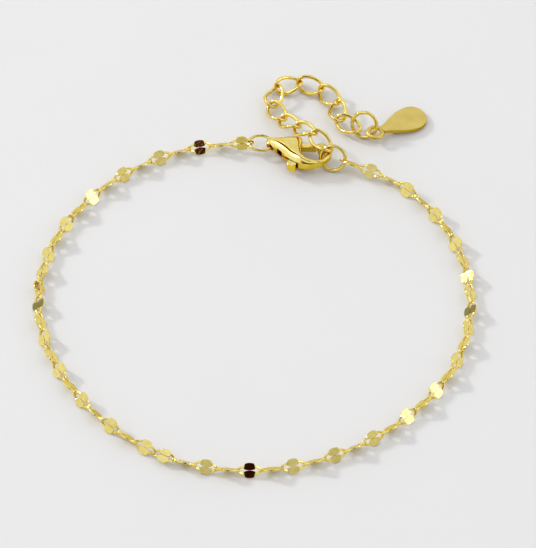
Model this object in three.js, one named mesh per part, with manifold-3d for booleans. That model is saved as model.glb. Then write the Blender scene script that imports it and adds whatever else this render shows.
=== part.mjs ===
import * as THREE from "three";
import { mergeVertices } from "three/addons/utils/BufferGeometryUtils.js";
import Module from "manifold-3d";

const wasm = await Module();
wasm.setup();

// Chain bracelet with a lobster clasp, an extender and a teardrop tag, as it lies on a table.
// Millimetres, +Z up, the table at z = 0, the origin under the middle of the whole bracelet.

// Main chain: stamped links of round wire, each side of a link beaten out into a flat disc
const linkCount = 57;
const linkLength = 3.02;
const linkWire = 0.27;
const linkFuse = 0.11;
const discWidth = 0.78;
const discThickness = 0.17;
const discGap = 0.18;
const linkRoll = 45;
const twistedLink = 27;
const twistedRoll = 10;
const firstRoll = -62;

// Extender: ten open links of round wire, each with a quarter turn of twist
const extenderCount = 10;
const extenderLength = 3.8;
const extenderWidth = 2.5;
const extenderWire = 0.34;
const extenderTwist = -86;

// Jump rings
const claspRingLength = 3.2;
const claspRingWidth = 2.65;
const claspRingWire = 0.32;
const roundRingDiameter = 3.55;
const roundRingWire = 0.45;

// Clasp: a flat claw with an eye at one end, a hook at the other, and a gate that swings on a pin
const claspLength = 8.3;
const claspDepth = 2;
const hookDepth = 0.86;
const eyeInset = 0.66;
const eyeHole = 0.98;
const ringInEye = 0.08;
const slotHeight = 1.0;
const pinDiameter = 0.5;
const pinSeat = 0.25;
const leverThickness = 0.8;
const tabHeight = 1.25;

// Tag: a teardrop plate with a slightly thinner loop
const tagLength = 8.3;
const tagWidth = 3.7;
const tagThickness = 0.5;
const tagLoopDiameter = 2.3;
const tagHole = 1.2;
const tagNeckWidth = 0.8;
const tagNeckReach = 0.97;
const tagLoopStep = 0.06;
const tagBelly = { along: 0.55, out: 0.95 };

// The gap between loose pieces that touch on the real thing
const pinPlay = 0.16;
const chainRingPlay = 0.22;
const extenderRingPlay = 0.3;
const extenderPlay = 0.22;

// How finely round shapes are drawn
const sectionSides = 6;
const ringStations = 16;
const extenderStations = 12;
const extenderSides = 5;
const roundSides = 16;
const pinSides = 12;
const curveSteps = 200;
const headingSteps = 20;
const fitRounds = 24;

// How the pieces lie: places of their own centres, headings about Z and leans off the table, in degrees.
// hookInRing is the step from the hook's end to the middle of the end ring, along and across the clasp.
const claspPlace = { x: 1.3, y: 19.73, z: 1.06, heading: -19, lean: 2.7 };
const claspRingHeading = -7;
const hookInRing = { past: 0.321, aside: 0.025 };
const endRingPlace = { heading: -15, lean: 56, chain: -4, extender: 119 };
const chainEndHeading = { x: -0.9, y: 0.43, z: 0.07 };
const tagRingPlace = { heading: -20, lean: 56, hang: 238 };
const tagPlace = { ringAngle: -20, slack: 0.1, heading: 31, lean: -6.6 };

// Chosen points of the loop between its two rings, as shares of half the loop's width
const loopReach = 26;
const chainRoute = [
  { x: -0.3192, y: 0.7308 },
  { x: -0.5846, y: 0.6038 },
  { x: -0.8, y: 0.4 },
  { x: -0.9462, y: 0.1423 },
  { x: -1.0, y: -0.15 },
  { x: -0.95, y: -0.4423 },
  { x: -0.8154, y: -0.7038 },
  { x: -0.6154, y: -0.9231 },
  { x: -0.3654, y: -1.0769 },
  { x: -0.0731, y: -1.1385 },
  { x: 0.2192, y: -1.1038 },
  { x: 0.4923, y: -0.9846 },
  { x: 0.7231, y: -0.8038 },
  { x: 0.9, y: -0.5654 },
  { x: 0.9846, y: -0.2808 },
  { x: 0.9731, y: 0.0154 },
  { x: 0.8654, y: 0.2923 },
  { x: 0.6769, y: 0.5154 },
];

// How far each extender link is rolled about its length, in degrees; a positive roll faces it to the right
const extenderRolls = [0, 0, 0, -10, -10, 15, 30, 25, 15, 20];

// Chosen points of the extender after its first link: steps from the end ring's middle and heights
// over the table, as shares of a link's length
const extenderRoute = [
  { x: -0.6342, y: 0.6763, z: 0.8237 },
  { x: -1.1632, y: 1.1605, z: 0.5816 },
  { x: -1.6684, y: 1.7421, z: 0.3026 },
  { x: -2.0132, y: 2.4868, z: 0.2237 },
  { x: -1.7237, y: 3.1842, z: 0.2237 },
  { x: -1.0342, y: 3.3447, z: 0.2237 },
  { x: -0.3263, y: 3.0184, z: 0.2237 },
  { x: 0.1447, y: 2.4605, z: 0.2237 },
  { x: 0.1579, y: 1.75, z: 0.2763 },
  { x: 0.5658, y: 1.4737, z: 0.2632 },
];

const up = new THREE.Vector3(0, 0, 1);
const radians = THREE.MathUtils.degToRad;
const goldColour = "#d9b84a";

function goldMaterial(roughness) {
  return new THREE.MeshStandardMaterial({ color: goldColour, metalness: 1, roughness });
}

function piece(name, geometry, roughness = 0.15) {
  const mesh = new THREE.Mesh(geometry, goldMaterial(roughness));
  mesh.name = name;
  return mesh;
}

// Solids and geometries, for joins and cuts
function solidOf(geometry) {
  const bare = geometry.clone();
  bare.deleteAttribute("normal");
  bare.deleteAttribute("uv");
  const merged = mergeVertices(bare, 1e-5);
  return new wasm.Manifold(
    new wasm.Mesh({
      numProp: 3,
      vertProperties: Float32Array.from(merged.attributes.position.array),
      triVerts: Uint32Array.from(merged.index.array),
    }),
  );
}

function geometryOf(solid) {
  const mesh = solid.getMesh();
  const geometry = new THREE.BufferGeometry();
  geometry.setAttribute("position", new THREE.BufferAttribute(mesh.vertProperties, 3));
  geometry.setIndex(new THREE.BufferAttribute(mesh.triVerts, 1));
  return geometry;
}

const flatShare = 0.86;

// A closed loop of wire: a torus whose rings are moved to the stations of a path.
// A station has a place, the loop's normal there, the wire's width and thickness,
// and how square its section is, from 0 for a round one to 1 for a flat one with thin bevels.
function wireLoop(stations, sides) {
  const count = stations.length;
  const geometry = new THREE.TorusGeometry(1, 0.1, sides, count);
  const position = geometry.attributes.position;
  for (let side = 0; side <= sides; side += 1) {
    const turn = (2 * Math.PI * (side % sides)) / sides;
    for (let step = 0; step <= count; step += 1) {
      const here = stations[step % count];
      const before = stations[(step + count - 1) % count];
      const after = stations[(step + 1) % count];
      const tangent = after.place.clone().sub(before.place).normalize();
      const outward = tangent.cross(here.normal).normalize();
      const round = Math.cos(turn);
      const onFlat = Math.abs(Math.sin(turn)) > 0.5;
      const square = onFlat ? (here.square ?? 0) : 0;
      const across = THREE.MathUtils.lerp(round, Math.sign(round) * flatShare, square);
      const point = here.place
        .clone()
        .addScaledVector(outward, (across * here.wide) / 2)
        .addScaledVector(here.normal, (Math.sin(turn) * here.thick) / 2);
      position.setXYZ(side * (count + 1) + step, point.x, point.y, point.z);
    }
  }
  return geometry;
}

// An oval of round wire in its own XY plane, with a twist about X from tip to tip
function ovalLoop({ length, width, wire, count, sides, twist = 0 }) {
  const reach = (length - wire) / 2;
  const spread = (width - wire) / 2;
  const stations = Array.from({ length: count }, (_, step) => {
    const turn = (2 * Math.PI * step) / count;
    const roll = radians((twist / 2) * Math.cos(turn));
    const across = spread * Math.sin(turn);
    return {
      place: new THREE.Vector3(reach * Math.cos(turn), across * Math.cos(roll), across * Math.sin(roll)),
      normal: new THREE.Vector3(0, -Math.sin(roll), Math.cos(roll)),
      wide: wire,
      thick: wire,
    };
  });
  return wireLoop(stations, sides);
}

// A quarter of a chain link, from its blunt tip to its disc, as shares of its reach and disc offset.
// disc is 0 where the wire is round and 1 where it is fully beaten out.
const linkQuarter = [
  { along: 1, across: 0.5, disc: 0 },
  { along: 0.58, across: 0.9, disc: 0 },
  { along: 0.38, across: 1, disc: 1 },
];
const linkReach = (linkLength - linkWire) / 2;
const discOffset = (discWidth + discGap) / 2;
const flatten = 1 / Math.sin(Math.PI / 3);

function chainLink() {
  const flipped = (row, x, y) => ({ ...row, along: x * row.along, across: y * row.across });
  const mirrored = (rows, x, y) => rows.map((row) => flipped(row, x, y));
  const inwards = [...linkQuarter].reverse();
  const rows = [
    ...mirrored(linkQuarter, 1, 1),
    ...mirrored(inwards, -1, 1),
    ...mirrored(linkQuarter, -1, -1),
    ...mirrored(inwards, 1, -1),
  ];
  const stations = rows.map((row) => ({
    place: new THREE.Vector3(row.along * linkReach, row.across * discOffset, 0),
    normal: up,
    wide: THREE.MathUtils.lerp(linkWire, discWidth, row.disc),
    thick: THREE.MathUtils.lerp(linkWire, discThickness * flatten, row.disc),
    square: row.disc,
  }));
  return wireLoop(stations, sectionSides);
}

// Joints one pitch apart along a curve, with the number of links that fit on it
function walk(points, pitch, count) {
  const curve = new THREE.CatmullRomCurve3(points, false, "centripetal");
  const samples = curve.getPoints(curveSteps * points.length);
  const joints = [samples[0]];
  let last = samples[0];
  for (const sample of samples) {
    const from = joints.at(-1);
    if (sample.distanceTo(from) >= pitch) {
      const reachLast = last.distanceTo(from);
      const share = (pitch - reachLast) / (sample.distanceTo(from) - reachLast);
      joints.push(last.clone().lerp(sample, share));
    }
    last = sample;
  }
  const fit = joints.length - 1 + last.distanceTo(joints.at(-1)) / pitch;
  const heading = last.clone().sub(samples.at(-headingSteps)).normalize();
  while (joints.length <= count) {
    joints.push(joints.at(-1).clone().addScaledVector(heading, pitch));
  }
  return { joints: joints.slice(0, count + 1), fit };
}

// Places a link between two joints, rolled about its length; a positive roll faces it to the right
function linkMatrix(from, to, roll) {
  const along = to.clone().sub(from).normalize();
  const right = along.clone().cross(up).normalize();
  const level = right.clone().cross(along).normalize();
  const normal = level.applyAxisAngle(along, radians(roll));
  const side = normal.clone().cross(along);
  return new THREE.Matrix4().makeBasis(along, side, normal).setPosition(from.clone().lerp(to, 0.5));
}

function placed(place, lift = place.z) {
  const group = new THREE.Group();
  group.position.set(place.x, place.y, lift);
  return group;
}

// Clasp: its own frame has X from the eye to the hook, Y towards the gate, Z up
const clasp = placed(claspPlace);
clasp.rotation.set(0, -radians(claspPlace.lean), radians(claspPlace.heading), "ZYX");
clasp.updateMatrix();

// Half the claw's depth along its length, as shares of its length and of its half depth
const hookShare = hookDepth / claspDepth;
const clawDepths = [
  { along: 0, deep: 0.8 },
  { along: 0.2, deep: 0.86 },
  { along: 0.45, deep: 1 },
  { along: 0.6, deep: 0.88 },
  { along: 0.78, deep: hookShare },
  { along: 1, deep: hookShare },
];

function clawDepth(x) {
  const along = THREE.MathUtils.clamp(x / claspLength, 0, 1);
  const next = Math.max(clawDepths.findIndex((row) => row.along >= along), 1);
  const low = clawDepths[next - 1];
  const high = clawDepths[next];
  const share = (along - low.along) / (high.along - low.along);
  return THREE.MathUtils.lerp(low.deep, high.deep, share);
}

// The claw's outline as shares of its length: back, hook, throat and the lobe that the gate leaves
const clawOutline = [
  { x: 0.0, y: 0.012 },
  { x: 0.03, y: -0.05 },
  { x: 0.14, y: -0.085 },
  { x: 0.28, y: -0.15 },
  { x: 0.42, y: -0.235 },
  { x: 0.56, y: -0.28 },
  { x: 0.72, y: -0.272 },
  { x: 0.87, y: -0.205 },
  { x: 0.965, y: -0.085 },
  { x: 1.0, y: 0.03 },
  { x: 0.972, y: 0.12 },
  { x: 0.9, y: 0.165 },
  { x: 0.8, y: 0.165 },
  { x: 0.765, y: 0.145 },
  { x: 0.765, y: 0.085 },
  { x: 0.82, y: 0.07 },
  { x: 0.89, y: 0.05 },
  { x: 0.915, y: -0.025 },
  { x: 0.888, y: -0.113 },
  { x: 0.8, y: -0.162 },
  { x: 0.7, y: -0.165 },
  { x: 0.61, y: -0.12 },
  { x: 0.555, y: -0.04 },
  { x: 0.515, y: 0.13 },
  { x: 0.5, y: 0.175 },
  { x: 0.43, y: 0.178 },
  { x: 0.3, y: 0.145 },
  { x: 0.16, y: 0.085 },
  { x: 0.06, y: 0.068 },
  { x: 0.015, y: 0.05 },
];
const clawBevel = 0.14;

// The slot that the gate swings in, seen from above, as shares of the claw's length
const slotOutline = [
  { x: 0.19, y: -0.4 },
  { x: 0.59, y: -0.4 },
  { x: 0.59, y: -0.13 },
  { x: 0.66, y: -0.05 },
  { x: 0.66, y: 0.145 },
  { x: 0.48, y: 0.15 },
  { x: 0.19, y: 0.055 },
];

// The gate: its pivot, its arm to the hook's tip, and the stem and tab on the claw's back
const pivot = { x: 0.375 * claspLength, y: 0.02 * claspLength };
const hubDiameter = 1.4;
const armOutline = [
  { x: 0.36, y: -0.06 },
  { x: 0.5, y: 0.0 },
  { x: 0.62, y: 0.05 },
  { x: 0.753, y: 0.07 },
  { x: 0.745, y: 0.135 },
  { x: 0.6, y: 0.135 },
  { x: 0.46, y: 0.12 },
  { x: 0.35, y: 0.09 },
];
const gateOutline = [
  { x: 0.6, y: 0.044 },
  { x: 0.68, y: 0.06 },
  { x: 0.753, y: 0.07 },
  { x: 0.745, y: 0.135 },
  { x: 0.6, y: 0.135 },
];
const stemOutline = [
  { x: 0.36, y: 0.02 },
  { x: 0.219, y: -0.043 },
  { x: 0.246, y: -0.088 },
  { x: 0.286, y: -0.122 },
  { x: 0.334, y: -0.143 },
  { x: 0.387, y: -0.148 },
  { x: 0.427, y: -0.14 },
  { x: 0.45, y: -0.3 },
  { x: 0.55, y: -0.3 },
  { x: 0.56, y: -0.22 },
  { x: 0.45, y: 0.02 },
];
const tabOutline = [
  { x: 0.432, y: -0.335 },
  { x: 0.46, y: -0.36 },
  { x: 0.54, y: -0.366 },
  { x: 0.572, y: -0.345 },
  { x: 0.572, y: -0.295 },
  { x: 0.432, y: -0.27 },
];

function slab(outline, depth, scale = claspLength) {
  const shape = new THREE.Shape(outline.map((row) => new THREE.Vector2(row.x * scale, row.y * scale)));
  const geometry = new THREE.ExtrudeGeometry(shape, { depth, bevelEnabled: false });
  return geometry.translate(0, 0, -depth / 2);
}

function clawBlank() {
  const shape = new THREE.Shape(
    clawOutline.map((row) => new THREE.Vector2(row.x * claspLength, row.y * claspLength)),
  );
  const geometry = new THREE.ExtrudeGeometry(shape, {
    depth: claspDepth - 2 * clawBevel,
    bevelThickness: clawBevel,
    bevelSize: clawBevel,
    bevelOffset: -clawBevel,
    bevelSegments: 2,
  });
  geometry.translate(0, 0, clawBevel - claspDepth / 2);
  const position = geometry.attributes.position;
  for (let index = 0; index < position.count; index += 1) {
    position.setZ(index, position.getZ(index) * clawDepth(position.getX(index)));
  }
  return geometry;
}

function pinAt(diameter, height) {
  return new THREE.CylinderGeometry(diameter / 2, diameter / 2, height, pinSides)
    .rotateX(Math.PI / 2)
    .translate(pivot.x, pivot.y, 0);
}

function claspBody() {
  const eye = new THREE.CylinderGeometry(eyeHole / 2, eyeHole / 2, claspLength, pinSides);
  eye.translate(eyeInset, 0, 0);
  const pin = solidOf(pinAt(pinDiameter, slotHeight + 2 * pinSeat));
  return geometryOf(
    solidOf(clawBlank())
      .subtract(solidOf(slab(slotOutline, slotHeight)))
      .subtract(solidOf(eye))
      .add(pin),
  );
}

function claspLever() {
  return geometryOf(
    solidOf(pinAt(hubDiameter, leverThickness))
      .add(solidOf(slab(armOutline, leverThickness)))
      .add(solidOf(slab(gateOutline, hookDepth)))
      .add(solidOf(slab(stemOutline, leverThickness)))
      .add(solidOf(slab(tabOutline, tabHeight)))
      .subtract(solidOf(pinAt(pinDiameter + 2 * pinPlay, claspDepth))),
  );
}
clasp.add(piece("clasp_body", claspBody(), 0.1), piece("clasp_lever", claspLever(), 0.1));

// Clasp ring: lies level through the clasp's eye
const claspRingReach = (claspRingLength - claspRingWire) / 2;
const claspRing = placed(new THREE.Vector3(eyeInset + ringInEye, 0, 0).applyMatrix4(clasp.matrix));
claspRing.rotation.z = radians(claspRingHeading);
claspRing.translateX(-claspRingReach);
claspRing.updateMatrix();
claspRing.add(
  piece(
    "clasp_ring",
    ovalLoop({
      length: claspRingLength,
      width: claspRingWidth,
      wire: claspRingWire,
      count: ringStations,
      sides: sectionSides,
    }),
  ),
);

// A round ring that leans on the table, and points on its wire
function roundRing() {
  return ovalLoop({
    length: roundRingDiameter,
    width: roundRingDiameter,
    wire: roundRingWire,
    count: ringStations,
    sides: sectionSides,
  });
}
const ringReach = (roundRingDiameter - roundRingWire) / 2;

function leaningRing(name, place) {
  const ring = placed(place, ringReach * Math.sin(radians(place.lean)) + roundRingWire / 2);
  ring.rotation.set(radians(place.lean), 0, radians(place.heading), "ZXY");
  ring.add(piece(name, roundRing()));
  ring.updateMatrix();
  return ring;
}

function onRing(ring, angle, radius = ringReach) {
  const turn = radians(angle);
  return new THREE.Vector3(radius * Math.cos(turn), radius * Math.sin(turn), 0).applyMatrix4(ring.matrix);
}
const hookEnd = new THREE.Vector3(claspLength + hookInRing.past, hookInRing.aside, 0).applyMatrix4(clasp.matrix);
const endRing = leaningRing("end_ring", { ...endRingPlace, x: hookEnd.x, y: hookEnd.y });

// Main chain: from the clasp ring round to the end ring; the loop widens until it holds its links
const chainPitch = linkLength - 2 * linkWire + linkFuse;
const chainLie = (discOffset + discWidth / 2) * Math.sin(radians(linkRoll)) + discThickness / 2;
const chainFirst = new THREE.Vector3(
  claspRingWire / 2 + linkWire / 2 + chainRingPlay - (linkReach - chainPitch / 2) - claspRingReach,
  0,
  0,
).applyMatrix4(claspRing.matrix);
const chainLast = onRing(endRing, endRingPlace.chain).addScaledVector(
  new THREE.Vector3(chainEndHeading.x, chainEndHeading.y, chainEndHeading.z).normalize(),
  roundRingWire / 2 + linkWire / 2 + chainRingPlay - (linkReach - chainPitch / 2),
);

function chainPoints(scale) {
  const middle = chainFirst.clone().lerp(chainLast, 0.5);
  const between = chainRoute.map(({ x, y }) => {
    const point = new THREE.Vector3(x * loopReach, y * loopReach, chainLie);
    return new THREE.Vector3(middle.x, middle.y, chainLie).lerp(point, scale);
  });
  return [chainFirst, ...between, chainLast];
}

function chainJoints() {
  let small = 0.5;
  let large = 2;
  for (let round = 0; round < fitRounds; round += 1) {
    const middle = (small + large) / 2;
    if (walk(chainPoints(middle), chainPitch, linkCount).fit < linkCount) {
      small = middle;
    } else {
      large = middle;
    }
  }
  return walk(chainPoints(large), chainPitch, linkCount).joints;
}

// Links face in and out by turns; the chain is twisted once, so that one link lies nearly level
function rollOf(index) {
  if (index === 1) {
    return firstRoll;
  }
  if (index === twistedLink) {
    return twistedRoll;
  }
  const missed = index > twistedLink ? 1 : 0;
  return (index + missed) % 2 === 0 ? linkRoll : -linkRoll;
}

function mainChain() {
  const link = chainLink();
  const joints = chainJoints();
  const links = joints.slice(1).map((to, index) =>
    solidOf(link.clone().applyMatrix4(linkMatrix(joints[index], to, rollOf(index + 1)))),
  );
  return geometryOf(wasm.Manifold.union(links));
}

// Extender: from the end ring, over the clasp's hook and round to the tag ring
const extenderPitch = extenderLength - 2 * extenderWire - extenderPlay;
const extenderReach = (extenderLength - extenderWire) / 2;
const extenderInRing = roundRingWire / 2 + extenderWire / 2 + extenderRingPlay;
const extenderTip = extenderInRing - (extenderReach - extenderPitch / 2);
const extenderFirst = onRing(endRing, endRingPlace.extender, ringReach - extenderTip);
const extenderPoints = extenderRoute.map(({ x, y, z }) =>
  new THREE.Vector3(x, y, z).multiplyScalar(extenderLength).add(new THREE.Vector3(hookEnd.x, hookEnd.y, 0)),
);
const extenderJoints = walk([extenderFirst, ...extenderPoints], extenderPitch, extenderCount).joints;

const extender = new THREE.Group();
extenderJoints.slice(1).forEach((to, index) => {
  const link = piece(
    `extender_link_${String(index + 1).padStart(2, "0")}`,
    ovalLoop({
      length: extenderLength,
      width: extenderWidth,
      wire: extenderWire,
      count: extenderStations,
      sides: extenderSides,
      twist: extenderTwist,
    }),
  );
  linkMatrix(extenderJoints[index], to, extenderRolls[index]).decompose(link.position, link.quaternion, link.scale);
  extender.add(link);
});

// Tag ring: hangs on the extender's last link
const tagRing = leaningRing("tag_ring", { ...tagRingPlace, x: 0, y: 0 });
const hang = extenderJoints.at(-1).clone().sub(onRing(tagRing, tagRingPlace.hang, ringReach - extenderTip));
tagRing.position.x = hang.x;
tagRing.position.y = hang.y;
tagRing.updateMatrix();

// Tag: its own frame has its origin in the loop's hole, X to the round end, Z up
const tagRound = tagLength - tagLoopDiameter / 2 - tagWidth / 2;

function tagPlate() {
  const radius = tagWidth / 2;
  const shape = new THREE.Shape();
  const belly = { x: tagRound * tagBelly.along, y: radius * tagBelly.out };
  shape.moveTo(tagNeckReach, tagNeckWidth / 2);
  shape.lineTo(tagNeckReach, -tagNeckWidth / 2);
  shape.quadraticCurveTo(belly.x, -belly.y, tagRound, -radius);
  shape.absarc(tagRound, 0, radius, -Math.PI / 2, Math.PI / 2);
  shape.quadraticCurveTo(belly.x, belly.y, tagNeckReach, tagNeckWidth / 2);
  return new THREE.ExtrudeGeometry(shape, {
    depth: tagThickness,
    bevelEnabled: false,
    curveSegments: roundSides,
  });
}

function tagLoop() {
  const depth = tagThickness - 2 * tagLoopStep;
  const outline = new THREE.Shape().absarc(0, 0, tagLoopDiameter / 2, 0, 2 * Math.PI);
  outline.holes.push(new THREE.Path().absarc(0, 0, tagHole / 2, 0, 2 * Math.PI, true));
  const geometry = new THREE.ExtrudeGeometry(outline, {
    depth,
    bevelEnabled: false,
    curveSegments: roundSides,
  });
  return geometry.translate(0, 0, tagLoopStep);
}
const tagGeometry = geometryOf(solidOf(tagPlate()).add(solidOf(tagLoop())));
tagGeometry.translate(0, 0, -tagThickness / 2);

const tag = new THREE.Group();
tag.position.copy(onRing(tagRing, tagPlace.ringAngle, ringReach + tagPlace.slack));
tag.rotation.set(0, -radians(tagPlace.lean), radians(tagPlace.heading), "ZYX");
tag.add(piece("drop_tag", tagGeometry, 0.3));

const bracelet = new THREE.Group();
bracelet.add(piece("main_chain", mainChain()), claspRing, clasp, endRing, extender, tagRing, tag);

// The whole bracelet stands over the origin, with its lowest point on the table
const extent = new THREE.Box3().setFromObject(bracelet, true);
const centre = extent.getCenter(new THREE.Vector3());
bracelet.position.set(-centre.x, -centre.y, -extent.min.z);

export default bracelet;
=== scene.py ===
import math
import bpy
import bmesh
from mathutils import Matrix, Vector
from mathutils.kdtree import KDTree


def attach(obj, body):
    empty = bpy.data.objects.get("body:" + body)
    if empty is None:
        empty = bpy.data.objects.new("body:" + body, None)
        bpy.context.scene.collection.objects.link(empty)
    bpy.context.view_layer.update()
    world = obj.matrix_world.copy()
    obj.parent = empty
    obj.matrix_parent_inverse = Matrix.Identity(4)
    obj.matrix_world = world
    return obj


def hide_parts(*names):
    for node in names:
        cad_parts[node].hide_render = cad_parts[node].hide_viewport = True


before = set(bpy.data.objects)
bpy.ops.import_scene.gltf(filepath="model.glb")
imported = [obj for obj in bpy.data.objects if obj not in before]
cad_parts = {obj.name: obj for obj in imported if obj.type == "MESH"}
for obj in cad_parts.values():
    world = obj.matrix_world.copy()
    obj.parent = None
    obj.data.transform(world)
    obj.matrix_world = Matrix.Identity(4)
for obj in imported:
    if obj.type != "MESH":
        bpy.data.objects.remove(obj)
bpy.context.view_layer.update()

# ---------------------------------------------------------------- table, camera and light
# A plain pale matt table top in soft daylight. The camera is a long lens that looks down at
# about 52 degrees, and the key light is a soft window to the left and behind the bracelet.


def mm(x, y, z=0.0):
    """A place or a step given in millimetres, in metres."""
    return Vector((x, y, z)) * 0.001


def srgb_hex(code):
    """An sRGB hex colour as the linear colour that a shader takes."""
    parts = [int(code[i:i + 2], 16) / 255 for i in (1, 3, 5)]
    return [p / 12.92 if p <= 0.04045 else ((p + 0.055) / 1.055) ** 2.4 for p in parts] + [1.0]


def add_node(tree, kind, settings=None, links=None):
    """Adds one node, sets its options and sockets, and links what feeds it."""
    node = tree.nodes.new(kind)
    for name, value in (settings or {}).items():
        if isinstance(name, str) and hasattr(node, name):
            setattr(node, name, value)
        else:
            node.inputs[name].default_value = value
    for name, source in (links or {}).items():
        tree.links.new(source, node.inputs[name])
    return node


def new_finish(name):
    """An empty material with its shader, ready for its pattern."""
    finish = bpy.data.materials.new(name)
    finish.use_nodes = True
    tree = finish.node_tree
    tree.nodes.clear()
    shader = add_node(tree, "ShaderNodeBsdfPrincipled")
    add_node(tree, "ShaderNodeOutputMaterial", links={"Surface": shader.outputs["BSDF"]})
    place = add_node(tree, "ShaderNodeTexCoord").outputs["Object"]
    return finish, tree, shader, place


def paint(piece, finish):
    """Gives a piece one finish in place of what it has."""
    piece.data.materials.clear()
    piece.data.materials.append(finish)


def toward(turn, rise):
    """The direction at a turn from +X and a rise above the table, in degrees."""
    turn, rise = math.radians(turn), math.radians(rise)
    return Vector((math.cos(turn) * math.cos(rise), math.sin(turn) * math.cos(rise), math.sin(rise)))


bpy.ops.object.select_all(action="DESELECT")
camera_tilt = math.radians(51.83)
camera_distance = 0.6804
looked_at = mm(1.62, 0.03, 0.03)
camera_arm = Vector((0, -math.cos(camera_tilt), math.sin(camera_tilt))) * camera_distance
bpy.ops.object.camera_add(location=looked_at + camera_arm, rotation=(math.pi / 2 - camera_tilt, 0, 0))
camera = bpy.context.object
camera.name = "photo_camera"
camera.data.lens = 370.4
camera.data.sensor_width = 36
camera.data.clip_start = 0.02
bpy.context.scene.camera = camera
bpy.context.scene.view_settings.view_transform = "Standard"

bpy.ops.mesh.primitive_plane_add(size=2.4, location=(0, 0, 0))
table = bpy.context.object
table.name = "pale_table"
finish, tree, shader, place = new_finish("matt white card")
# its faint mottle is about 17 mm across, so there are 60 patches to a metre
mottle = add_node(tree, "ShaderNodeTexNoise", {"Scale": 60, "Detail": 3}, {"Vector": place})
tint = add_node(tree, "ShaderNodeMix", {"data_type": "RGBA"}, {0: mottle.outputs["Fac"]})
# a colour mix has its two colours at inputs 6 and 7, and the mixed one at output 2
tint.inputs[6].default_value = srgb_hex("#e9eaeb")
tint.inputs[7].default_value = srgb_hex("#ecedee")
tree.links.new(tint.outputs[2], shader.inputs["Base Color"])
shader.inputs["Roughness"].default_value = 0.7
paint(table, finish)

key_from = toward(152, 27)
key_distance = 1.2
bpy.ops.object.light_add(type="AREA", location=key_from * key_distance)
key = bpy.context.object
key.name = "window_key"
key.data.shape = "SQUARE"
key.data.size = 0.13
key.data.energy = 5.2
key.rotation_euler = key_from.to_track_quat("Z", "Y").to_euler()

# The room as the gold sees it: bright sides and ceiling, a dimmer front, and three dark cards
world = bpy.data.worlds.new("pale_room")
bpy.context.scene.world = world
world.use_nodes = True
sky = world.node_tree
sky.nodes.clear()
compass = add_node(sky, "ShaderNodeTexCoord").outputs["Generated"]
base_light = 0.69
room_lobes = [
    # turn from +X, rise, radius and soft edge in degrees, and how much light it adds
    (0, 14, 30, 40, 0.1),
    (180, 18, 30, 40, 0.12),
    (-11, 24, 5, 5, 1.8),
    (-42, 33, 10, 16, -0.12),
    (90, 65, 40, 45, 0.2),
    (-90, 8, 25, 35, -0.15),
    (150, 60, 7, 9, 2.2),
    (139, 5, 7, 4, -0.6),
]
room_light = None
for turn, rise, radius, edge, amount in room_lobes:
    facing = add_node(
        sky, "ShaderNodeVectorMath", {"operation": "DOT_PRODUCT", 1: toward(turn, rise)}, {0: compass},
    )
    lobe = add_node(
        sky, "ShaderNodeMapRange",
        {
            "interpolation_type": "SMOOTHSTEP",
            "From Min": math.cos(math.radians(radius + edge)), "From Max": math.cos(math.radians(radius)),
            "To Min": 0.0, "To Max": amount,
        },
        {"Value": facing.outputs["Value"]},
    )
    added = add_node(sky, "ShaderNodeMath", {"operation": "ADD", 1: base_light}, {0: lobe.outputs["Result"]})
    if room_light is not None:
        sky.links.new(room_light, added.inputs[1])
    room_light = added.outputs["Value"]
# an upright dark card behind the camera, from 27 up to 64 degrees, a wide one at the camera's height,
# and a thin strip overhead, which draws the long dark line on the claw's rolled edge
strip_pole = (0.58, 0.809, -0.092)
strip_aim = (-0.203, 0.253, 0.946)
split = add_node(sky, "ShaderNodeSeparateXYZ", links={"Vector": compass})
aside = add_node(sky, "ShaderNodeMath", {"operation": "ABSOLUTE"}, {0: split.outputs["X"]}).outputs["Value"]
pole_share = add_node(sky, "ShaderNodeVectorMath", {"operation": "DOT_PRODUCT", 1: strip_pole}, {0: compass})
off_strip = add_node(sky, "ShaderNodeMath", {"operation": "ABSOLUTE"}, {0: pole_share.outputs["Value"]})
along_strip = add_node(sky, "ShaderNodeVectorMath", {"operation": "DOT_PRODUCT", 1: strip_aim}, {0: compass})
behind = (split.outputs["Y"], -0.3, -0.2)
below_top = (split.outputs["Z"], 0.9, 0.95)
dark_cards = [
    # the bands that a card lies in: what is measured, where it is wholly dark, and where it ends
    [(aside, 0.12, 0.2), (split.outputs["Z"], 0.45, 0.36), behind, below_top],
    [(aside, 0.26, 0.4), (split.outputs["Z"], 0.73, 0.68), behind, below_top],
    [(off_strip.outputs["Value"], 0.05, 0.095), (along_strip.outputs["Value"], 0.94, 0.89)],
]
darkness = None
for bands in dark_cards:
    card = None
    for source, inside, outside in bands:
        band = add_node(
            sky, "ShaderNodeMapRange",
            {"interpolation_type": "SMOOTHSTEP", "From Min": outside, "From Max": inside}, {"Value": source},
        ).outputs["Result"]
        if card is None:
            card = band
        else:
            narrowed = add_node(sky, "ShaderNodeMath", {"operation": "MULTIPLY"}, {0: card, 1: band})
            card = narrowed.outputs["Value"]
    if darkness is None:
        darkness = card
    else:
        both = add_node(sky, "ShaderNodeMath", {"operation": "MAXIMUM"}, {0: darkness, 1: card})
        darkness = both.outputs["Value"]
dimming = add_node(sky, "ShaderNodeMapRange", {"To Min": 1.0, "To Max": 0.06}, {"Value": darkness})
dimmed = add_node(
    sky, "ShaderNodeMath", {"operation": "MULTIPLY"}, {0: room_light, 1: dimming.outputs["Result"]},
)
room_colour = add_node(sky, "ShaderNodeMix", {"data_type": "RGBA"}, {0: darkness})
room_colour.inputs[6].default_value = srgb_hex("#ffffff")
room_colour.inputs[7].default_value = srgb_hex("#d0603c")
room = add_node(
    sky, "ShaderNodeBackground",
    links={"Color": room_colour.outputs[2], "Strength": dimmed.outputs["Value"]},
)
add_node(sky, "ShaderNodeOutputWorld", links={"Surface": room.outputs["Background"]})

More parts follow.
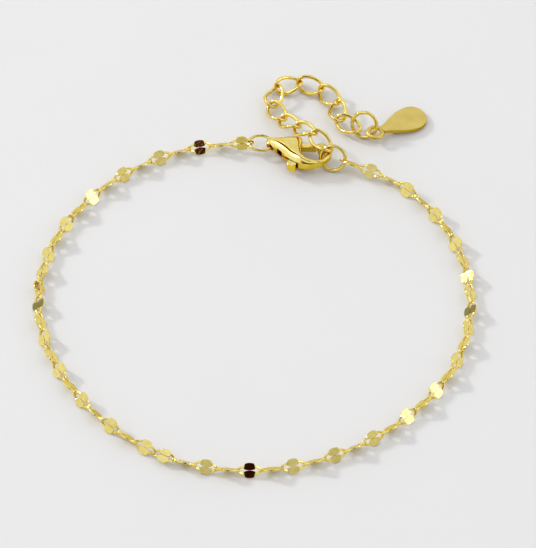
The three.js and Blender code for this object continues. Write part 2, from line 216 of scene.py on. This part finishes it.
# ---------------------------------------------------------------- main chain
# 57 stamped links. Each is a loop of beaded gold-plated brass wire whose two long sides are
# beaten out into small mirror discs that lie side by side, with a V of wire at each end.
# Neighbouring links are soldered tip to tip at a quarter turn, so that they face in and out by turns.
link_rows = [
    # along and across the link, width and thickness of the wire there, mm; from the tip to the disc
    (1.375, 0.0, 0.28, 0.28),
    (1.34, 0.115, 0.35, 0.35),
    (1.265, 0.19, 0.26, 0.26),
    (1.18, 0.24, 0.36, 0.36),
    (1.095, 0.285, 0.26, 0.26),
    (1.01, 0.33, 0.36, 0.36),
    (0.925, 0.37, 0.26, 0.26),
    (0.84, 0.405, 0.36, 0.35),
    (0.76, 0.43, 0.24, 0.24),
    (0.7, 0.44, 0.34, 0.26),
    (0.655, 0.43, 0.42, 0.2),
    (0.615, 0.42, 0.54, 0.18),
    (0.56, 0.415, 0.66, 0.17),
    (0.46, 0.43, 0.77, 0.17),
    (0.33, 0.447, 0.85, 0.17),
    (0.19, 0.455, 0.895, 0.17),
    (0.06, 0.458, 0.91, 0.17),
]
wire_sides = 8
start_wire = 0.26
loop_radius = 1.2
# the beaten part is wider than half a millimetre, and its flat faces are nearly as wide as itself
beaten_from = 0.5
disc_flat = 0.96
# the upper points of an eight-sided wire stand this share of its width apart
upper_share = 0.7071


def select_ring(shape, ring, sides):
    """Selects the points of one ring of a torus and no others."""
    for index, point in enumerate(shape.verts):
        point.select = index // sides == ring
    shape.select_flush(True)


def turn_about(axis, angle, centre):
    """Turns what is selected. The operator turns the other way round, so the angle is negated."""
    bpy.ops.transform.rotate(value=-angle, orient_axis=axis, center_override=centre)


upper = link_rows + [(-x, y, wide, thick) for x, y, wide, thick in reversed(link_rows)]
lower = [(-x, -y, wide, thick) for x, y, wide, thick in upper[1:-1]]
link_loop = upper + lower
bpy.ops.object.select_all(action="DESELECT")
bpy.ops.mesh.primitive_torus_add(
    major_segments=len(link_loop), minor_segments=wire_sides,
    major_radius=loop_radius * 0.001, minor_radius=start_wire * 0.0005,
)
chain_link = bpy.context.object
chain_link.name = "chain_link"
bpy.ops.object.mode_set(mode="EDIT")
shape = bmesh.from_edit_mesh(chain_link.data)
for ring, (along, across, wide, thick) in enumerate(link_loop):
    start_turn = 2 * math.pi * ring / len(link_loop)
    start = mm(loop_radius * math.cos(start_turn), loop_radius * math.sin(start_turn))
    before = link_loop[ring - 1]
    after = link_loop[(ring + 1) % len(link_loop)]
    outward = math.atan2(after[1] - before[1], after[0] - before[0]) - math.pi / 2
    select_ring(shape, ring, wire_sides)
    turn_about("Z", -start_turn, start)
    bpy.ops.transform.resize(value=(wide / start_wire, 1, thick / start_wire), center_override=start)
    if wide > beaten_from:
        for sign in (1, -1):
            face = start + mm(0, 0, sign * thick / 2)
            for index, point in enumerate(shape.verts):
                point.select = index // wire_sides == ring and point.co.z * sign > 0.00001
            shape.select_flush(True)
            bpy.ops.transform.resize(value=(disc_flat / upper_share, 1, 0), center_override=face)
        select_ring(shape, ring, wire_sides)
    turn_about("Z", outward, start)
    bpy.ops.transform.translate(value=mm(along, across) - start)
bpy.ops.mesh.select_all(action="SELECT")
bpy.ops.mesh.normals_make_consistent(inside=False)
bpy.ops.object.mode_set(mode="OBJECT")
bpy.ops.object.shade_smooth_by_angle(angle=math.radians(24))

# The points where neighbouring links meet, mm, from the clasp round to the end ring
chain_joints = [
    (-0.30, 19.72, 1.12), (-2.88, 19.55, 0.98), (-5.47, 19.40, 0.84), (-8.02, 18.99, 0.73),
    (-10.47, 18.16, 0.70), (-12.81, 17.05, 0.71), (-15.03, 15.70, 0.73), (-17.09, 14.13, 0.73),
    (-18.98, 12.36, 0.73), (-20.68, 10.41, 0.73), (-22.19, 8.31, 0.73), (-23.49, 6.07, 0.73),
    (-24.54, 3.70, 0.73), (-25.30, 1.22, 0.73), (-25.79, -1.32, 0.73), (-25.99, -3.90, 0.73),
    (-25.85, -6.49, 0.73), (-25.42, -9.04, 0.73), (-24.73, -11.54, 0.73), (-23.78, -13.95, 0.73),
    (-22.60, -16.25, 0.73), (-21.21, -18.44, 0.73), (-19.65, -20.51, 0.73), (-17.91, -22.43, 0.73),
    (-16.00, -24.18, 0.73), (-13.95, -25.75, 0.73), (-11.75, -27.13, 0.73), (-9.41, -28.24, 0.73),
    (-6.95, -29.05, 0.73), (-4.42, -29.58, 0.73), (-1.84, -29.84, 0.73), (0.75, -29.81, 0.73),
    (3.32, -29.50, 0.73), (5.85, -28.93, 0.73), (8.31, -28.12, 0.73), (10.68, -27.07, 0.73),
    (12.95, -25.83, 0.73), (15.12, -24.41, 0.73), (17.16, -22.82, 0.73), (19.04, -21.04, 0.73),
    (20.77, -19.12, 0.73), (22.33, -17.05, 0.73), (23.63, -14.81, 0.73), (24.63, -12.42, 0.73),
    (25.36, -9.93, 0.73), (25.81, -7.38, 0.73), (25.98, -4.80, 0.73), (25.87, -2.21, 0.73),
    (25.48, 0.35, 0.73), (24.80, 2.85, 0.73), (23.85, 5.26, 0.73), (22.65, 7.55, 0.73),
    (21.22, 9.71, 0.70), (19.55, 11.70, 0.67), (17.62, 13.42, 0.74), (15.37, 14.69, 0.94),
    (12.99, 15.66, 1.21), (10.60, 16.64, 1.48),
]


def between_joints(start, end, roll):
    """The place of a link between two joints. A positive roll faces it to the right of its run."""
    start, end = mm(*start), mm(*end)
    along = (end - start).normalized()
    right = along.cross(Vector((0, 0, 1))).normalized()
    level = right.cross(along).normalized()
    normal = Matrix.Rotation(math.radians(roll), 3, along) @ level
    side = normal.cross(along)
    place = Matrix((along, side, normal)).transposed().to_4x4()
    place.translation = (start + end) / 2
    return place


def lay_copy(piece, name, place):
    """A copy of a piece with its own mesh, laid at its place."""
    copy = piece.copy()
    copy.data = piece.data.copy()
    copy.name = name
    copy.matrix_world = place
    bpy.context.collection.objects.link(copy)
    return copy


def pick(piece):
    """Selects one piece alone and makes it the active one."""
    bpy.ops.object.select_all(action="DESELECT")
    piece.select_set(True)
    bpy.context.view_layer.objects.active = piece


def settle(piece):
    """Puts a piece's place into its mesh, so that its object sits at the origin."""
    pick(piece)
    bpy.ops.object.transform_apply(location=True, rotation=True, scale=True)


def join(pieces, name):
    """Makes one piece of several, settled and named."""
    pick(pieces[0])
    for piece in pieces[1:]:
        piece.select_set(True)
    bpy.ops.object.join()
    pieces[0].name = name
    settle(pieces[0])
    return pieces[0]


# Links face in and out by turns, with a small wobble. After link 27 the turns swap, as in the photo.
link_roll = 45
last_before_swap = 27
wobble, wobble_step = 4, 2.4
# these links lie over more or less than the others, and flash white or dark in the photo's light
set_rolls = {1: -62, 14: 40, 16: 40, 27: 6, 46: -40, 48: -33}
laid_links = []
for number in range(1, len(chain_joints)):
    swapped = number > last_before_swap
    roll = link_roll if (number + swapped) % 2 == 0 else -link_roll
    roll = set_rolls.get(number, roll + wobble * math.sin(number * wobble_step))
    lie = between_joints(chain_joints[number - 1], chain_joints[number], roll)
    laid_links.append(lay_copy(chain_link, "link_%02d" % number, lie))
bpy.data.objects.remove(chain_link)
stamped_chain = join(laid_links, "stamped_chain")


def plate_colour(tree, pattern, deep, pale, reach):
    """The plate's colour: two tones by a pattern, with painted shade in nooks within reach, mm, and painted
    yellow light on steep faces.
    """
    tone = add_node(tree, "ShaderNodeValToRGB", links={"Fac": pattern.outputs["Fac"]})
    tone.color_ramp.elements[0].position = 0.3
    tone.color_ramp.elements[0].color = srgb_hex(deep)
    tone.color_ramp.elements[1].position = 0.7
    tone.color_ramp.elements[1].color = srgb_hex(pale)
    # painted shade: where the metal faces other metal its colour is painted darker, to amber
    nook = add_node(tree, "ShaderNodeAmbientOcclusion", {"samples": 8, "Distance": reach * 0.001})
    painted_nook_shade = add_node(tree, "ShaderNodeValToRGB", links={"Fac": nook.outputs["AO"]})
    painted_nook_shade.color_ramp.elements[0].position = 0.15
    painted_nook_shade.color_ramp.elements[0].color = srgb_hex("#dca424")
    painted_nook_shade.color_ramp.elements[1].position = 0.8
    painted_nook_shade.color_ramp.elements[1].color = srgb_hex("#ffffff")
    painted_nook_shade.color_ramp.elements.new(0.5).color = srgb_hex("#f8e268")
    # painted light: steep faces are painted yellower, for the yellow light of the plate around them, which
    # faces that look up do not take
    turned = add_node(tree, "ShaderNodeTexCoord")
    slope = add_node(tree, "ShaderNodeSeparateXYZ", links={"Vector": turned.outputs["Normal"]})
    upward = add_node(tree, "ShaderNodeMath", {"operation": "ABSOLUTE"}, {0: slope.outputs["Z"]})
    level = add_node(
        tree, "ShaderNodeMapRange", {"From Min": 0.2, "From Max": 0.85}, {"Value": upward.outputs["Value"]},
    )
    # the painted yellow light, full on steep faces and none on faces that look up
    sides = add_node(tree, "ShaderNodeMix", {"data_type": "RGBA"}, {0: level.outputs["Result"]})
    sides.inputs[6].default_value = srgb_hex("#fff570")
    sides.inputs[7].default_value = srgb_hex("#ffffff")
    # the tones are multiplied by the painted shade in nooks and the painted light on steep faces
    colour = tone.outputs["Color"]
    for painted_light in (painted_nook_shade.outputs["Color"], sides.outputs[2]):
        mixed = add_node(
            tree, "ShaderNodeMix",
            {"data_type": "RGBA", "blend_type": "MULTIPLY", 0: 1.0}, {6: colour, 7: painted_light},
        )
        colour = mixed.outputs[2]
    return colour


def gold_plate(name):
    """A new finish with what all the gold plate here shares, before its own pattern."""
    finish, tree, shader, place = new_finish(name)
    shader.inputs["Metallic"].default_value = 1.0
    shader.inputs["Specular Tint"].default_value = srgb_hex("#ead664")
    return finish, tree, shader, place


# Polished gold plate on beaten wire: a clear mirror whose hammered faces are never quite flat.
chain_gold, tree, shader, place = gold_plate("polished gold plate on stamped brass")
# the beaten faces swell and dip over about 0.6 mm
swell = add_node(tree, "ShaderNodeTexNoise", {"Scale": 1 / 0.0006, "Detail": 1}, {"Vector": place})
# polishing marks, about 0.05 mm apart, which is as fine as a pixel can show
marks = add_node(tree, "ShaderNodeTexNoise", {"Scale": 1 / 0.00005, "Detail": 2}, {"Vector": place})
# its colour has painted shade in nooks within 0.25 mm and painted yellow light on steep faces
tree.links.new(plate_colour(tree, swell, "#f2dc88", "#fbee9e", 0.25), shader.inputs["Base Color"])
gloss = add_node(
    tree, "ShaderNodeMapRange", {"To Min": 0.05, "To Max": 0.1}, {"Value": marks.outputs["Fac"]},
)
tree.links.new(gloss.outputs["Result"], shader.inputs["Roughness"])
dents = add_node(
    tree, "ShaderNodeBump", {"Strength": 0.5, "Distance": 0.00002}, {"Height": swell.outputs["Fac"]},
)
tree.links.new(dents.outputs["Normal"], shader.inputs["Normal"])
shader.inputs["Coat Weight"].default_value = 0.5
shader.inputs["Coat Roughness"].default_value = 0.03
paint(stamped_chain, chain_gold)
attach(stamped_chain, "bracelet")
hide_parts("main_chain")

# ---------------------------------------------------------------- jump rings
# Three closed rings of round wire: a slightly oval one in the clasp's eye, a round one that joins
# the chain's end, the hook and the extender, and a round one for the tag. Each has a fine butt seam.


def jump_ring(name, diameter, wire, seam_turn):
    """A ring of round wire, mm, with its butt seam at a turn in degrees."""
    ring_steps, wire_steps = 72, 16
    groove_width, groove_share = 0.00006, 0.86
    radius = (diameter - wire) / 2
    bpy.ops.object.select_all(action="DESELECT")
    bpy.ops.mesh.primitive_torus_add(
        major_segments=ring_steps, minor_segments=wire_steps,
        major_radius=radius * 0.001, minor_radius=wire * 0.0005,
    )
    ring = bpy.context.object
    ring.name = name
    bpy.ops.object.mode_set(mode="EDIT")
    seam = round(seam_turn * ring_steps / 360)
    # the two cut ends meet in a shallow groove
    select_ring(bmesh.from_edit_mesh(ring.data), seam, wire_steps)
    bpy.ops.mesh.bevel(offset=groove_width, segments=2, affect="EDGES")
    shape = bmesh.from_edit_mesh(ring.data)
    turn = 2 * math.pi * seam / ring_steps
    middle = mm(radius * math.cos(turn), radius * math.sin(turn))
    around = Vector((-math.sin(turn), math.cos(turn), 0))
    for point in shape.verts:
        offset = point.co - middle
        point.select = abs(offset.dot(around)) < groove_width / 6 and offset.length < 0.0005
    shape.select_flush(True)
    bpy.ops.transform.resize(value=(groove_share,) * 3, center_override=middle)
    bpy.ops.object.mode_set(mode="OBJECT")
    bpy.ops.object.shade_smooth_by_angle(angle=math.radians(40))
    return ring


def lying(x, y, z, heading, lean=0.0):
    """The place of a ring, mm and degrees: it leans about its own X and then turns about Z."""
    turned = Matrix.Rotation(math.radians(heading), 4, "Z") @ Matrix.Rotation(math.radians(lean), 4, "X")
    return Matrix.Translation(mm(x, y, z)) @ turned


oval = 0.84
clasp_wire_ring = jump_ring("clasp_wire_ring", 3.2, 0.36, 100)
bpy.ops.object.mode_set(mode="EDIT")
bpy.ops.mesh.select_all(action="SELECT")
bpy.ops.transform.resize(value=(1, oval, 1), center_override=(0, 0, 0))
bpy.ops.object.mode_set(mode="OBJECT")
clasp_wire_ring.matrix_world = lying(0.694, 19.593, 1.123, -7)
end_wire_ring = jump_ring("end_wire_ring", 3.54, 0.45, 200)
end_wire_ring.matrix_world = lying(9.575, 16.878, 1.538, -15, 56)
tag_wire_ring = jump_ring("tag_wire_ring", 3.54, 0.44, 60)
tag_wire_ring.matrix_world = lying(13.46, 22.162, 1.538, -20, 56)

# Bright drawn wire: rounder than the beaten discs, and with a glossier skin.
wire_gold, tree, shader, place = gold_plate("polished gold plate on drawn wire")
# drawing the wire leaves faint bands about 0.25 mm long
bands = add_node(tree, "ShaderNodeTexNoise", {"Scale": 1 / 0.00025, "Detail": 2}, {"Vector": place})
# its colour has painted shade in nooks within 0.7 mm and painted yellow light on steep faces
tree.links.new(plate_colour(tree, bands, "#eed468", "#fae98e", 0.7), shader.inputs["Base Color"])
gloss = add_node(
    tree, "ShaderNodeMapRange", {"To Min": 0.03, "To Max": 0.06}, {"Value": bands.outputs["Fac"]},
)
tree.links.new(gloss.outputs["Result"], shader.inputs["Roughness"])
ripple = add_node(
    tree, "ShaderNodeBump", {"Strength": 0.2, "Distance": 0.00001}, {"Height": bands.outputs["Fac"]},
)
tree.links.new(ripple.outputs["Normal"], shader.inputs["Normal"])
shader.inputs["Coat Weight"].default_value = 1.0
shader.inputs["Coat Roughness"].default_value = 0.03
for ring, node in ((clasp_wire_ring, "clasp_ring"), (end_wire_ring, "end_ring"), (tag_wire_ring, "tag_ring")):
    settle(ring)
    paint(ring, wire_gold)
    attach(ring, "bracelet")
    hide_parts(node)

# ---------------------------------------------------------------- extender
# Ten open ovals of the same round wire, each twisted by nearly a quarter turn from tip to tip,
# so that every link stands square to the next. They run from the end ring to the tag ring.
link_half_length, link_half_width, link_wire = 1.67, 1.03, 0.46
link_twist = math.radians(-86)
bpy.ops.object.select_all(action="DESELECT")
bpy.ops.curve.primitive_bezier_circle_add(radius=0.001)
twisted_link = bpy.context.object
twisted_link.name = "twisted_link"
bpy.ops.object.mode_set(mode="EDIT")
bpy.ops.curve.select_all(action="SELECT")
bpy.ops.transform.resize(value=(link_half_length, link_half_width, 1), center_override=(0, 0, 0))
bpy.ops.object.mode_set(mode="OBJECT")
twisted_link.data.resolution_u = 14
twisted_link.data.bevel_depth = link_wire * 0.0005
twisted_link.data.bevel_resolution = 4
bpy.ops.object.convert(target="MESH")
twisted_link = bpy.context.object
twist = twisted_link.modifiers.new("twist", "SIMPLE_DEFORM")
twist.deform_method = "TWIST"
twist.deform_axis = "X"
twist.angle = link_twist
bpy.ops.object.modifier_apply(modifier="twist")
bpy.ops.object.mode_set(mode="EDIT")
bpy.ops.mesh.select_all(action="SELECT")
bpy.ops.mesh.remove_doubles(threshold=0.000001)
bpy.ops.mesh.normals_make_consistent(inside=False)
bpy.ops.object.mode_set(mode="OBJECT")
bpy.ops.object.shade_smooth()

# The points where neighbouring links meet, mm, from the end ring to the tag ring
extender_joints = [
    (9.19, 17.56, 2.36), (7.15, 19.46, 3.16), (5.13, 21.32, 2.22), (3.33, 23.36, 1.22),
    (1.98, 25.91, 0.90), (2.75, 28.70, 0.88), (5.51, 29.60, 0.88), (8.18, 28.46, 0.88),
    (10.10, 26.29, 0.88), (10.26, 23.40, 1.08), (12.71, 21.86, 0.99),
]
# how far each link leans about its length, degrees
extender_rolls = [0, 0, 0, -10, -10, 15, 30, 25, 15, 20]
for number in range(1, len(extender_joints)):
    lie = between_joints(extender_joints[number - 1], extender_joints[number], extender_rolls[number - 1])
    laid = lay_copy(twisted_link, "twisted_link_%02d" % number, lie)
    settle(laid)
    paint(laid, wire_gold)
    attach(laid, "bracelet")
    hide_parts("extender_link_%02d" % number)
bpy.data.objects.remove(twisted_link)

# ---------------------------------------------------------------- clasp body
# The claw of a lobster clasp, cast in brass and plated: a rounded body that narrows to an eye for its
# ring and to a thin hook, with a slot along its back for the sprung gate.
clasp_lie = (
    Matrix.Translation(mm(1.425, 19.658, 1.088))
    @ Matrix.Rotation(math.radians(-19), 4, "Z")
    @ Matrix.Rotation(math.radians(-2.7), 4, "Y")
)
clasp_length = 8.3
clasp_run = clasp_length * 0.001
# The claw seen from above, as shares of the clasp's length: the eye's end at 0, the hook's at 1
claw_outline = [
    (0.0, 0.012), (0.03, -0.05), (0.14, -0.085), (0.28, -0.15), (0.42, -0.235), (0.56, -0.28),
    (0.72, -0.272), (0.87, -0.205), (0.965, -0.085), (1.0, 0.03), (0.972, 0.12), (0.9, 0.165),
    (0.8, 0.165), (0.765, 0.145), (0.765, 0.085), (0.82, 0.07), (0.89, 0.05), (0.915, -0.025),
    (0.888, -0.113), (0.8, -0.162), (0.7, -0.165), (0.61, -0.12), (0.555, -0.04), (0.515, 0.13),
    (0.5, 0.175), (0.43, 0.178), (0.3, 0.145), (0.16, 0.085), (0.06, 0.068), (0.015, 0.05),
]


def drawn_slab(name, outline, depth, rounding, smooth=True):
    """A slab with a drawn outline, mm, and rounded edges, standing about z = 0."""
    bpy.ops.object.select_all(action="DESELECT")
    bpy.ops.curve.primitive_bezier_curve_add(radius=0.001)
    drawn = bpy.context.object
    drawn.name = name
    bpy.ops.object.mode_set(mode="EDIT")
    bpy.ops.curve.select_all(action="DESELECT")
    spline = drawn.data.splines[0]
    for point in spline.bezier_points[1:]:
        point.select_control_point = point.select_left_handle = point.select_right_handle = True
    bpy.ops.curve.delete(type="VERT")
    spline = drawn.data.splines[0]
    first = spline.bezier_points[0]
    first.select_control_point = first.select_left_handle = first.select_right_handle = True
    bpy.ops.transform.translate(value=mm(*outline[0]) - first.co)
    for here, there in zip(outline, outline[1:]):
        bpy.ops.curve.extrude_move(
            TRANSFORM_OT_translate={"value": mm(there[0] - here[0], there[1] - here[1])},
        )
    bpy.ops.curve.select_all(action="SELECT")
    bpy.ops.curve.cyclic_toggle()
    bpy.ops.curve.handle_type_set(type="AUTOMATIC" if smooth else "VECTOR")
    bpy.ops.object.mode_set(mode="OBJECT")
    drawn.data.dimensions = "2D"
    drawn.data.fill_mode = "BOTH"
    drawn.data.resolution_u = 6 if smooth else 1
    drawn.data.extrude = (depth / 2 - rounding) * 0.001
    drawn.data.bevel_depth = rounding * 0.001
    drawn.data.bevel_resolution = 3
    drawn.data.offset = -rounding * 0.001
    bpy.ops.object.convert(target="MESH")
    slab = bpy.context.object
    bpy.ops.object.mode_set(mode="EDIT")
    bpy.ops.mesh.select_all(action="SELECT")
    bpy.ops.mesh.remove_doubles(threshold=0.0000005)
    bpy.ops.mesh.normals_make_consistent(inside=False)
    bpy.ops.object.mode_set(mode="OBJECT")
    return slab


def melt(piece, grain, passes):
    """Turns a piece into one even skin of a grain, mm, as a casting has, and softens its edges."""
    pick(piece)
    skin = piece.modifiers.new("skin", "REMESH")
    skin.mode = "VOXEL"
    skin.voxel_size = grain * 0.001
    bpy.ops.object.modifier_apply(modifier="skin")
    soften = piece.modifiers.new("soften", "SMOOTH")
    soften.factor = 0.5
    soften.iterations = passes
    bpy.ops.object.modifier_apply(modifier="soften")
    bpy.ops.object.shade_smooth()


def carve(piece, tool):
    """Cuts a tool out of a piece, and removes the tool."""
    pick(piece)
    cut = piece.modifiers.new("cut", "BOOLEAN")
    cut.operation = "DIFFERENCE"
    cut.solver = "EXACT"
    cut.object = tool
    bpy.ops.object.modifier_apply(modifier="cut")
    bpy.data.objects.remove(tool)


def scaled(outline, size):
    """An outline in shares of a size, as one in mm."""
    return [(x * size, y * size) for x, y in outline]


claw_depth, claw_rounding = 1.98, 0.12
clasp_claw = drawn_slab("clasp_claw", scaled(claw_outline, clasp_length), claw_depth, claw_rounding)
back_rim = KDTree(len(clasp_claw.data.vertices))
mouth_rim = KDTree(len(clasp_claw.data.vertices))
for index, point in enumerate(clasp_claw.data.vertices):
    along, aside = point.co.x / clasp_run, point.co.y / clasp_run
    # the claw's back runs from the eye round to the hook's end
    if along < 0.5:
        on_back = aside < 0.01 - 0.34 * along
    else:
        on_back = aside < -0.19 or along > 0.94
    (back_rim if on_back else mouth_rim).insert((point.co.x, point.co.y, 0), index)
back_rim.balance()
mouth_rim.balance()
melt(clasp_claw, 0.07, 6)

# The casting is fullest past the pivot and thins towards the eye and the hook: place, share of the depth
claw_depths = [(0, 0.84), (0.2, 0.92), (0.45, 1.0), (0.6, 1.06), (0.75, 1.04), (0.88, 0.88), (1.0, 0.76)]


def depth_at(share):
    """The share of the claw's depth at a share of its length, eased between the places listed."""
    for (low, shallow), (high, deep) in zip(claw_depths, claw_depths[1:]):
        if share <= high:
            run = max(share - low, 0) / (high - low)
            ease = run * run * (3 - 2 * run)
            return shallow + (deep - shallow) * ease
    return claw_depths[-1][1]


# Its faces are crowned. They roll over to the back in a wide round, and to the mouth in a small one:
# the rim, how wide the round is, and the share of the depth that is left at the rim
crown_rounds = ((back_rim, 0.0016, 0.4), (mouth_rim, 0.0004, 0.75))
for point in clasp_claw.data.vertices:
    crown = 1
    for rim, width, least in crown_rounds:
        inward = min(rim.find((point.co.x, point.co.y, 0))[2] / width, 1)
        crown *= least + (1 - least) * math.sqrt(1 - (1 - inward) ** 2)
    point.co.z *= depth_at(point.co.x / clasp_run) * crown
pick(clasp_claw)
# the crown is polished all over, and then evened out up and down alone, so that it has no ridge
for passes, sideways in ((6, True), (45, False)):
    polish = clasp_claw.modifiers.new("polish", "SMOOTH")
    polish.use_x = sideways
    polish.use_y = sideways
    polish.factor = 0.5
    polish.iterations = passes
    bpy.ops.object.modifier_apply(modifier="polish")

# The slot for the gate is cut in from the back and is shallow near the eye. The eye is drilled across.
slot_outline = [
    (0.203, -0.4), (0.59, -0.4), (0.59, -0.13), (0.66, -0.05), (0.66, 0.145),
    (0.48, 0.15), (0.3, 0.085), (0.272, -0.06), (0.203, -0.045),
]
slot_width = 1.0
slot_tool = drawn_slab("slot_tool", scaled(slot_outline, clasp_length), slot_width, 0.02, smooth=False)
carve(clasp_claw, slot_tool)
eye_place, eye_radius, drill_length = mm(0.66, 0), 0.00049, 0.008
bpy.ops.object.select_all(action="DESELECT")
bpy.ops.mesh.primitive_cylinder_add(
    vertices=40, radius=eye_radius, depth=drill_length, rotation=(math.pi / 2, 0, 0), location=eye_place,
)
eye_tool = bpy.context.object
carve(clasp_claw, eye_tool)
bpy.ops.object.shade_smooth_by_angle(angle=math.radians(35))

# The pin that the gate turns on stands across the slot
pin_place, pin_radius, pin_length = mm(0.375 * clasp_length, 0.02 * clasp_length), 0.00025, 0.0015
bpy.ops.object.select_all(action="DESELECT")
bpy.ops.mesh.primitive_cylinder_add(vertices=32, radius=pin_radius, depth=pin_length, location=pin_place)
clasp_pin = bpy.context.object
bpy.ops.object.shade_smooth_by_angle(angle=math.radians(35))
clasp_claw.matrix_world = clasp_lie
clasp_pin.matrix_world = clasp_lie @ clasp_pin.matrix_world
clasp_claw = join([clasp_claw, clasp_pin], "clasp_claw")

# Cast and barrel-polished gold plate: glossy, with a faint cast ripple.
clasp_gold, tree, shader, place = gold_plate("polished gold plate on cast brass")
# the cast skin ripples over about 0.9 mm, and its fine grain is about 0.06 mm
cast = add_node(tree, "ShaderNodeTexNoise", {"Scale": 1 / 0.0009, "Detail": 2}, {"Vector": place})
grain = add_node(tree, "ShaderNodeTexNoise", {"Scale": 1 / 0.00006, "Detail": 2}, {"Vector": place})
# its colour has painted shade in nooks within 1.2 mm and painted yellow light on steep faces
tree.links.new(plate_colour(tree, cast, "#ebd268", "#f3e292", 1.2), shader.inputs["Base Color"])
gloss = add_node(
    tree, "ShaderNodeMapRange", {"To Min": 0.04, "To Max": 0.07}, {"Value": grain.outputs["Fac"]},
)
tree.links.new(gloss.outputs["Result"], shader.inputs["Roughness"])
ripple = add_node(
    tree, "ShaderNodeBump", {"Strength": 0.3, "Distance": 0.00001}, {"Height": cast.outputs["Fac"]},
)
tree.links.new(ripple.outputs["Normal"], shader.inputs["Normal"])
shader.inputs["Coat Weight"].default_value = 0.5
shader.inputs["Coat Roughness"].default_value = 0.03
paint(clasp_claw, clasp_gold)
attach(clasp_claw, "bracelet")
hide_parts("clasp_body")

# ---------------------------------------------------------------- clasp gate
# The sprung gate, cast with its thumb tab: a hub on the pin, an arm to the hook's tip, and a short
# stem to the tab that stands out of the claw's back, where a thumbnail pulls it.
gate_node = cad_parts["clasp_lever"]
clasp_gate = gate_node.copy()
clasp_gate.data = gate_node.data.copy()
clasp_gate.name = "clasp_gate"
clasp_gate.parent = None
clasp_gate.matrix_world = Matrix.Identity(4)
bpy.context.collection.objects.link(clasp_gate)
pick(clasp_gate)
bpy.ops.object.mode_set(mode="EDIT")
bpy.ops.mesh.select_all(action="SELECT")
bpy.ops.mesh.remove_doubles(threshold=0.000001)
bpy.ops.object.mode_set(mode="OBJECT")
melt(clasp_gate, 0.045, 5)
paint(clasp_gate, clasp_gold)
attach(clasp_gate, "lever")
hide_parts("clasp_lever")

# ---------------------------------------------------------------- drop tag
# A teardrop cut from flat plate, with a thinner washer-like loop at its narrow end that hangs on the
# tag ring. Its plain faces are brushed satin, and its cut rim is glossier and painted a deeper gold, as
# painted shade.
tag_lie = (
    Matrix.Translation(mm(14.809, 21.335, 1.07))
    @ Matrix.Rotation(math.radians(31), 4, "Z")
    @ Matrix.Rotation(math.radians(6.6), 4, "Y")
)
# Half of the tag's outline, mm, from the loop to the round end
half_tag = [
    (0.97, 0.39), (1.55, 0.62), (2.4, 1.02), (3.4, 1.46), (4.4, 1.75), (5.3, 1.84), (6.05, 1.68),
    (6.75, 1.16), (7.14, 0.0),
]
tag_outline = [(x, -y) for x, y in half_tag] + [(x, y) for x, y in reversed(half_tag[:-1])]
plate_thickness, plate_rounding = 0.5, 0.07
tag_plate = drawn_slab("tag_plate", tag_outline, plate_thickness, plate_rounding)
bpy.ops.object.shade_smooth_by_angle(angle=math.radians(35))
eyelet_radius, eyelet_wire, eyelet_flattened = 0.875, 0.55, 0.69
bpy.ops.object.select_all(action="DESELECT")
bpy.ops.mesh.primitive_torus_add(
    major_segments=64, minor_segments=16,
    major_radius=eyelet_radius * 0.001, minor_radius=eyelet_wire * 0.0005,
)
tag_loop = bpy.context.object
bpy.ops.object.mode_set(mode="EDIT")
bpy.ops.mesh.select_all(action="SELECT")
bpy.ops.transform.resize(value=(1, 1, eyelet_flattened), center_override=(0, 0, 0))
bpy.ops.object.mode_set(mode="OBJECT")
bpy.ops.object.shade_smooth()
tag_plate.matrix_world = tag_lie
tag_loop.matrix_world = tag_lie
teardrop_tag = join([tag_plate, tag_loop], "teardrop_tag")

# Satin gold plate: brushed evenly, so that it glows rather than mirrors.
tag_gold, tree, shader, place = gold_plate("satin gold plate on cut brass")
# satin brushing: strokes about 0.06 mm wide and seven times as long, a little coarser than real ones
strokes_at = add_node(
    tree, "ShaderNodeMapping",
    {"Rotation": (0, 0, math.radians(-25)), "Scale": (0.15, 1, 1)}, {"Vector": place},
)
strokes = add_node(
    tree, "ShaderNodeTexNoise", {"Scale": 1 / 0.00006, "Detail": 3}, {"Vector": strokes_at.outputs["Vector"]},
)
# the brushed face clouds over about 1.5 mm
cloud = add_node(tree, "ShaderNodeTexNoise", {"Scale": 1 / 0.0015, "Detail": 2}, {"Vector": place})
# the cut rim is not brushed, so it is brighter in gloss; its steep faces are painted a deeper gold, as
# painted shade
facing = add_node(tree, "ShaderNodeSeparateXYZ", links={"Vector": place.node.outputs["Normal"]})
upward = add_node(tree, "ShaderNodeMath", {"operation": "ABSOLUTE"}, {0: facing.outputs["Z"]})
face = add_node(
    tree, "ShaderNodeMapRange", {"From Min": 0.6, "From Max": 0.95}, {"Value": upward.outputs["Value"]},
)
# painted shade: the steep rim faces take a deeper gold in place of the plate's colour
painted_rim_shade = add_node(tree, "ShaderNodeMix", {"data_type": "RGBA"}, {0: face.outputs["Result"]})
painted_rim_shade.inputs[6].default_value = srgb_hex("#dcb82c")
# the faces' colour has painted shade in nooks within 0.5 mm and painted yellow light on slopes
tree.links.new(plate_colour(tree, cloud, "#dac36c", "#e5d07e", 0.5), painted_rim_shade.inputs[7])
tree.links.new(painted_rim_shade.outputs[2], shader.inputs["Base Color"])
gloss = add_node(
    tree, "ShaderNodeMapRange", {"To Min": 0.3, "To Max": 0.46}, {"Value": strokes.outputs["Fac"]},
)
rim_gloss = add_node(
    tree, "ShaderNodeMapRange", {"To Min": 0.4, "To Max": 1.0}, {"Value": face.outputs["Result"]},
)
both_gloss = add_node(
    tree, "ShaderNodeMath", {"operation": "MULTIPLY"},
    {0: rim_gloss.outputs["Result"], 1: gloss.outputs["Result"]},
)
tree.links.new(both_gloss.outputs["Value"], shader.inputs["Roughness"])
brushed = add_node(
    tree, "ShaderNodeBump", {"Strength": 0.3, "Distance": 0.000004}, {"Height": strokes.outputs["Fac"]},
)
tree.links.new(brushed.outputs["Normal"], shader.inputs["Normal"])
paint(teardrop_tag, tag_gold)
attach(teardrop_tag, "bracelet")
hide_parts("drop_tag")
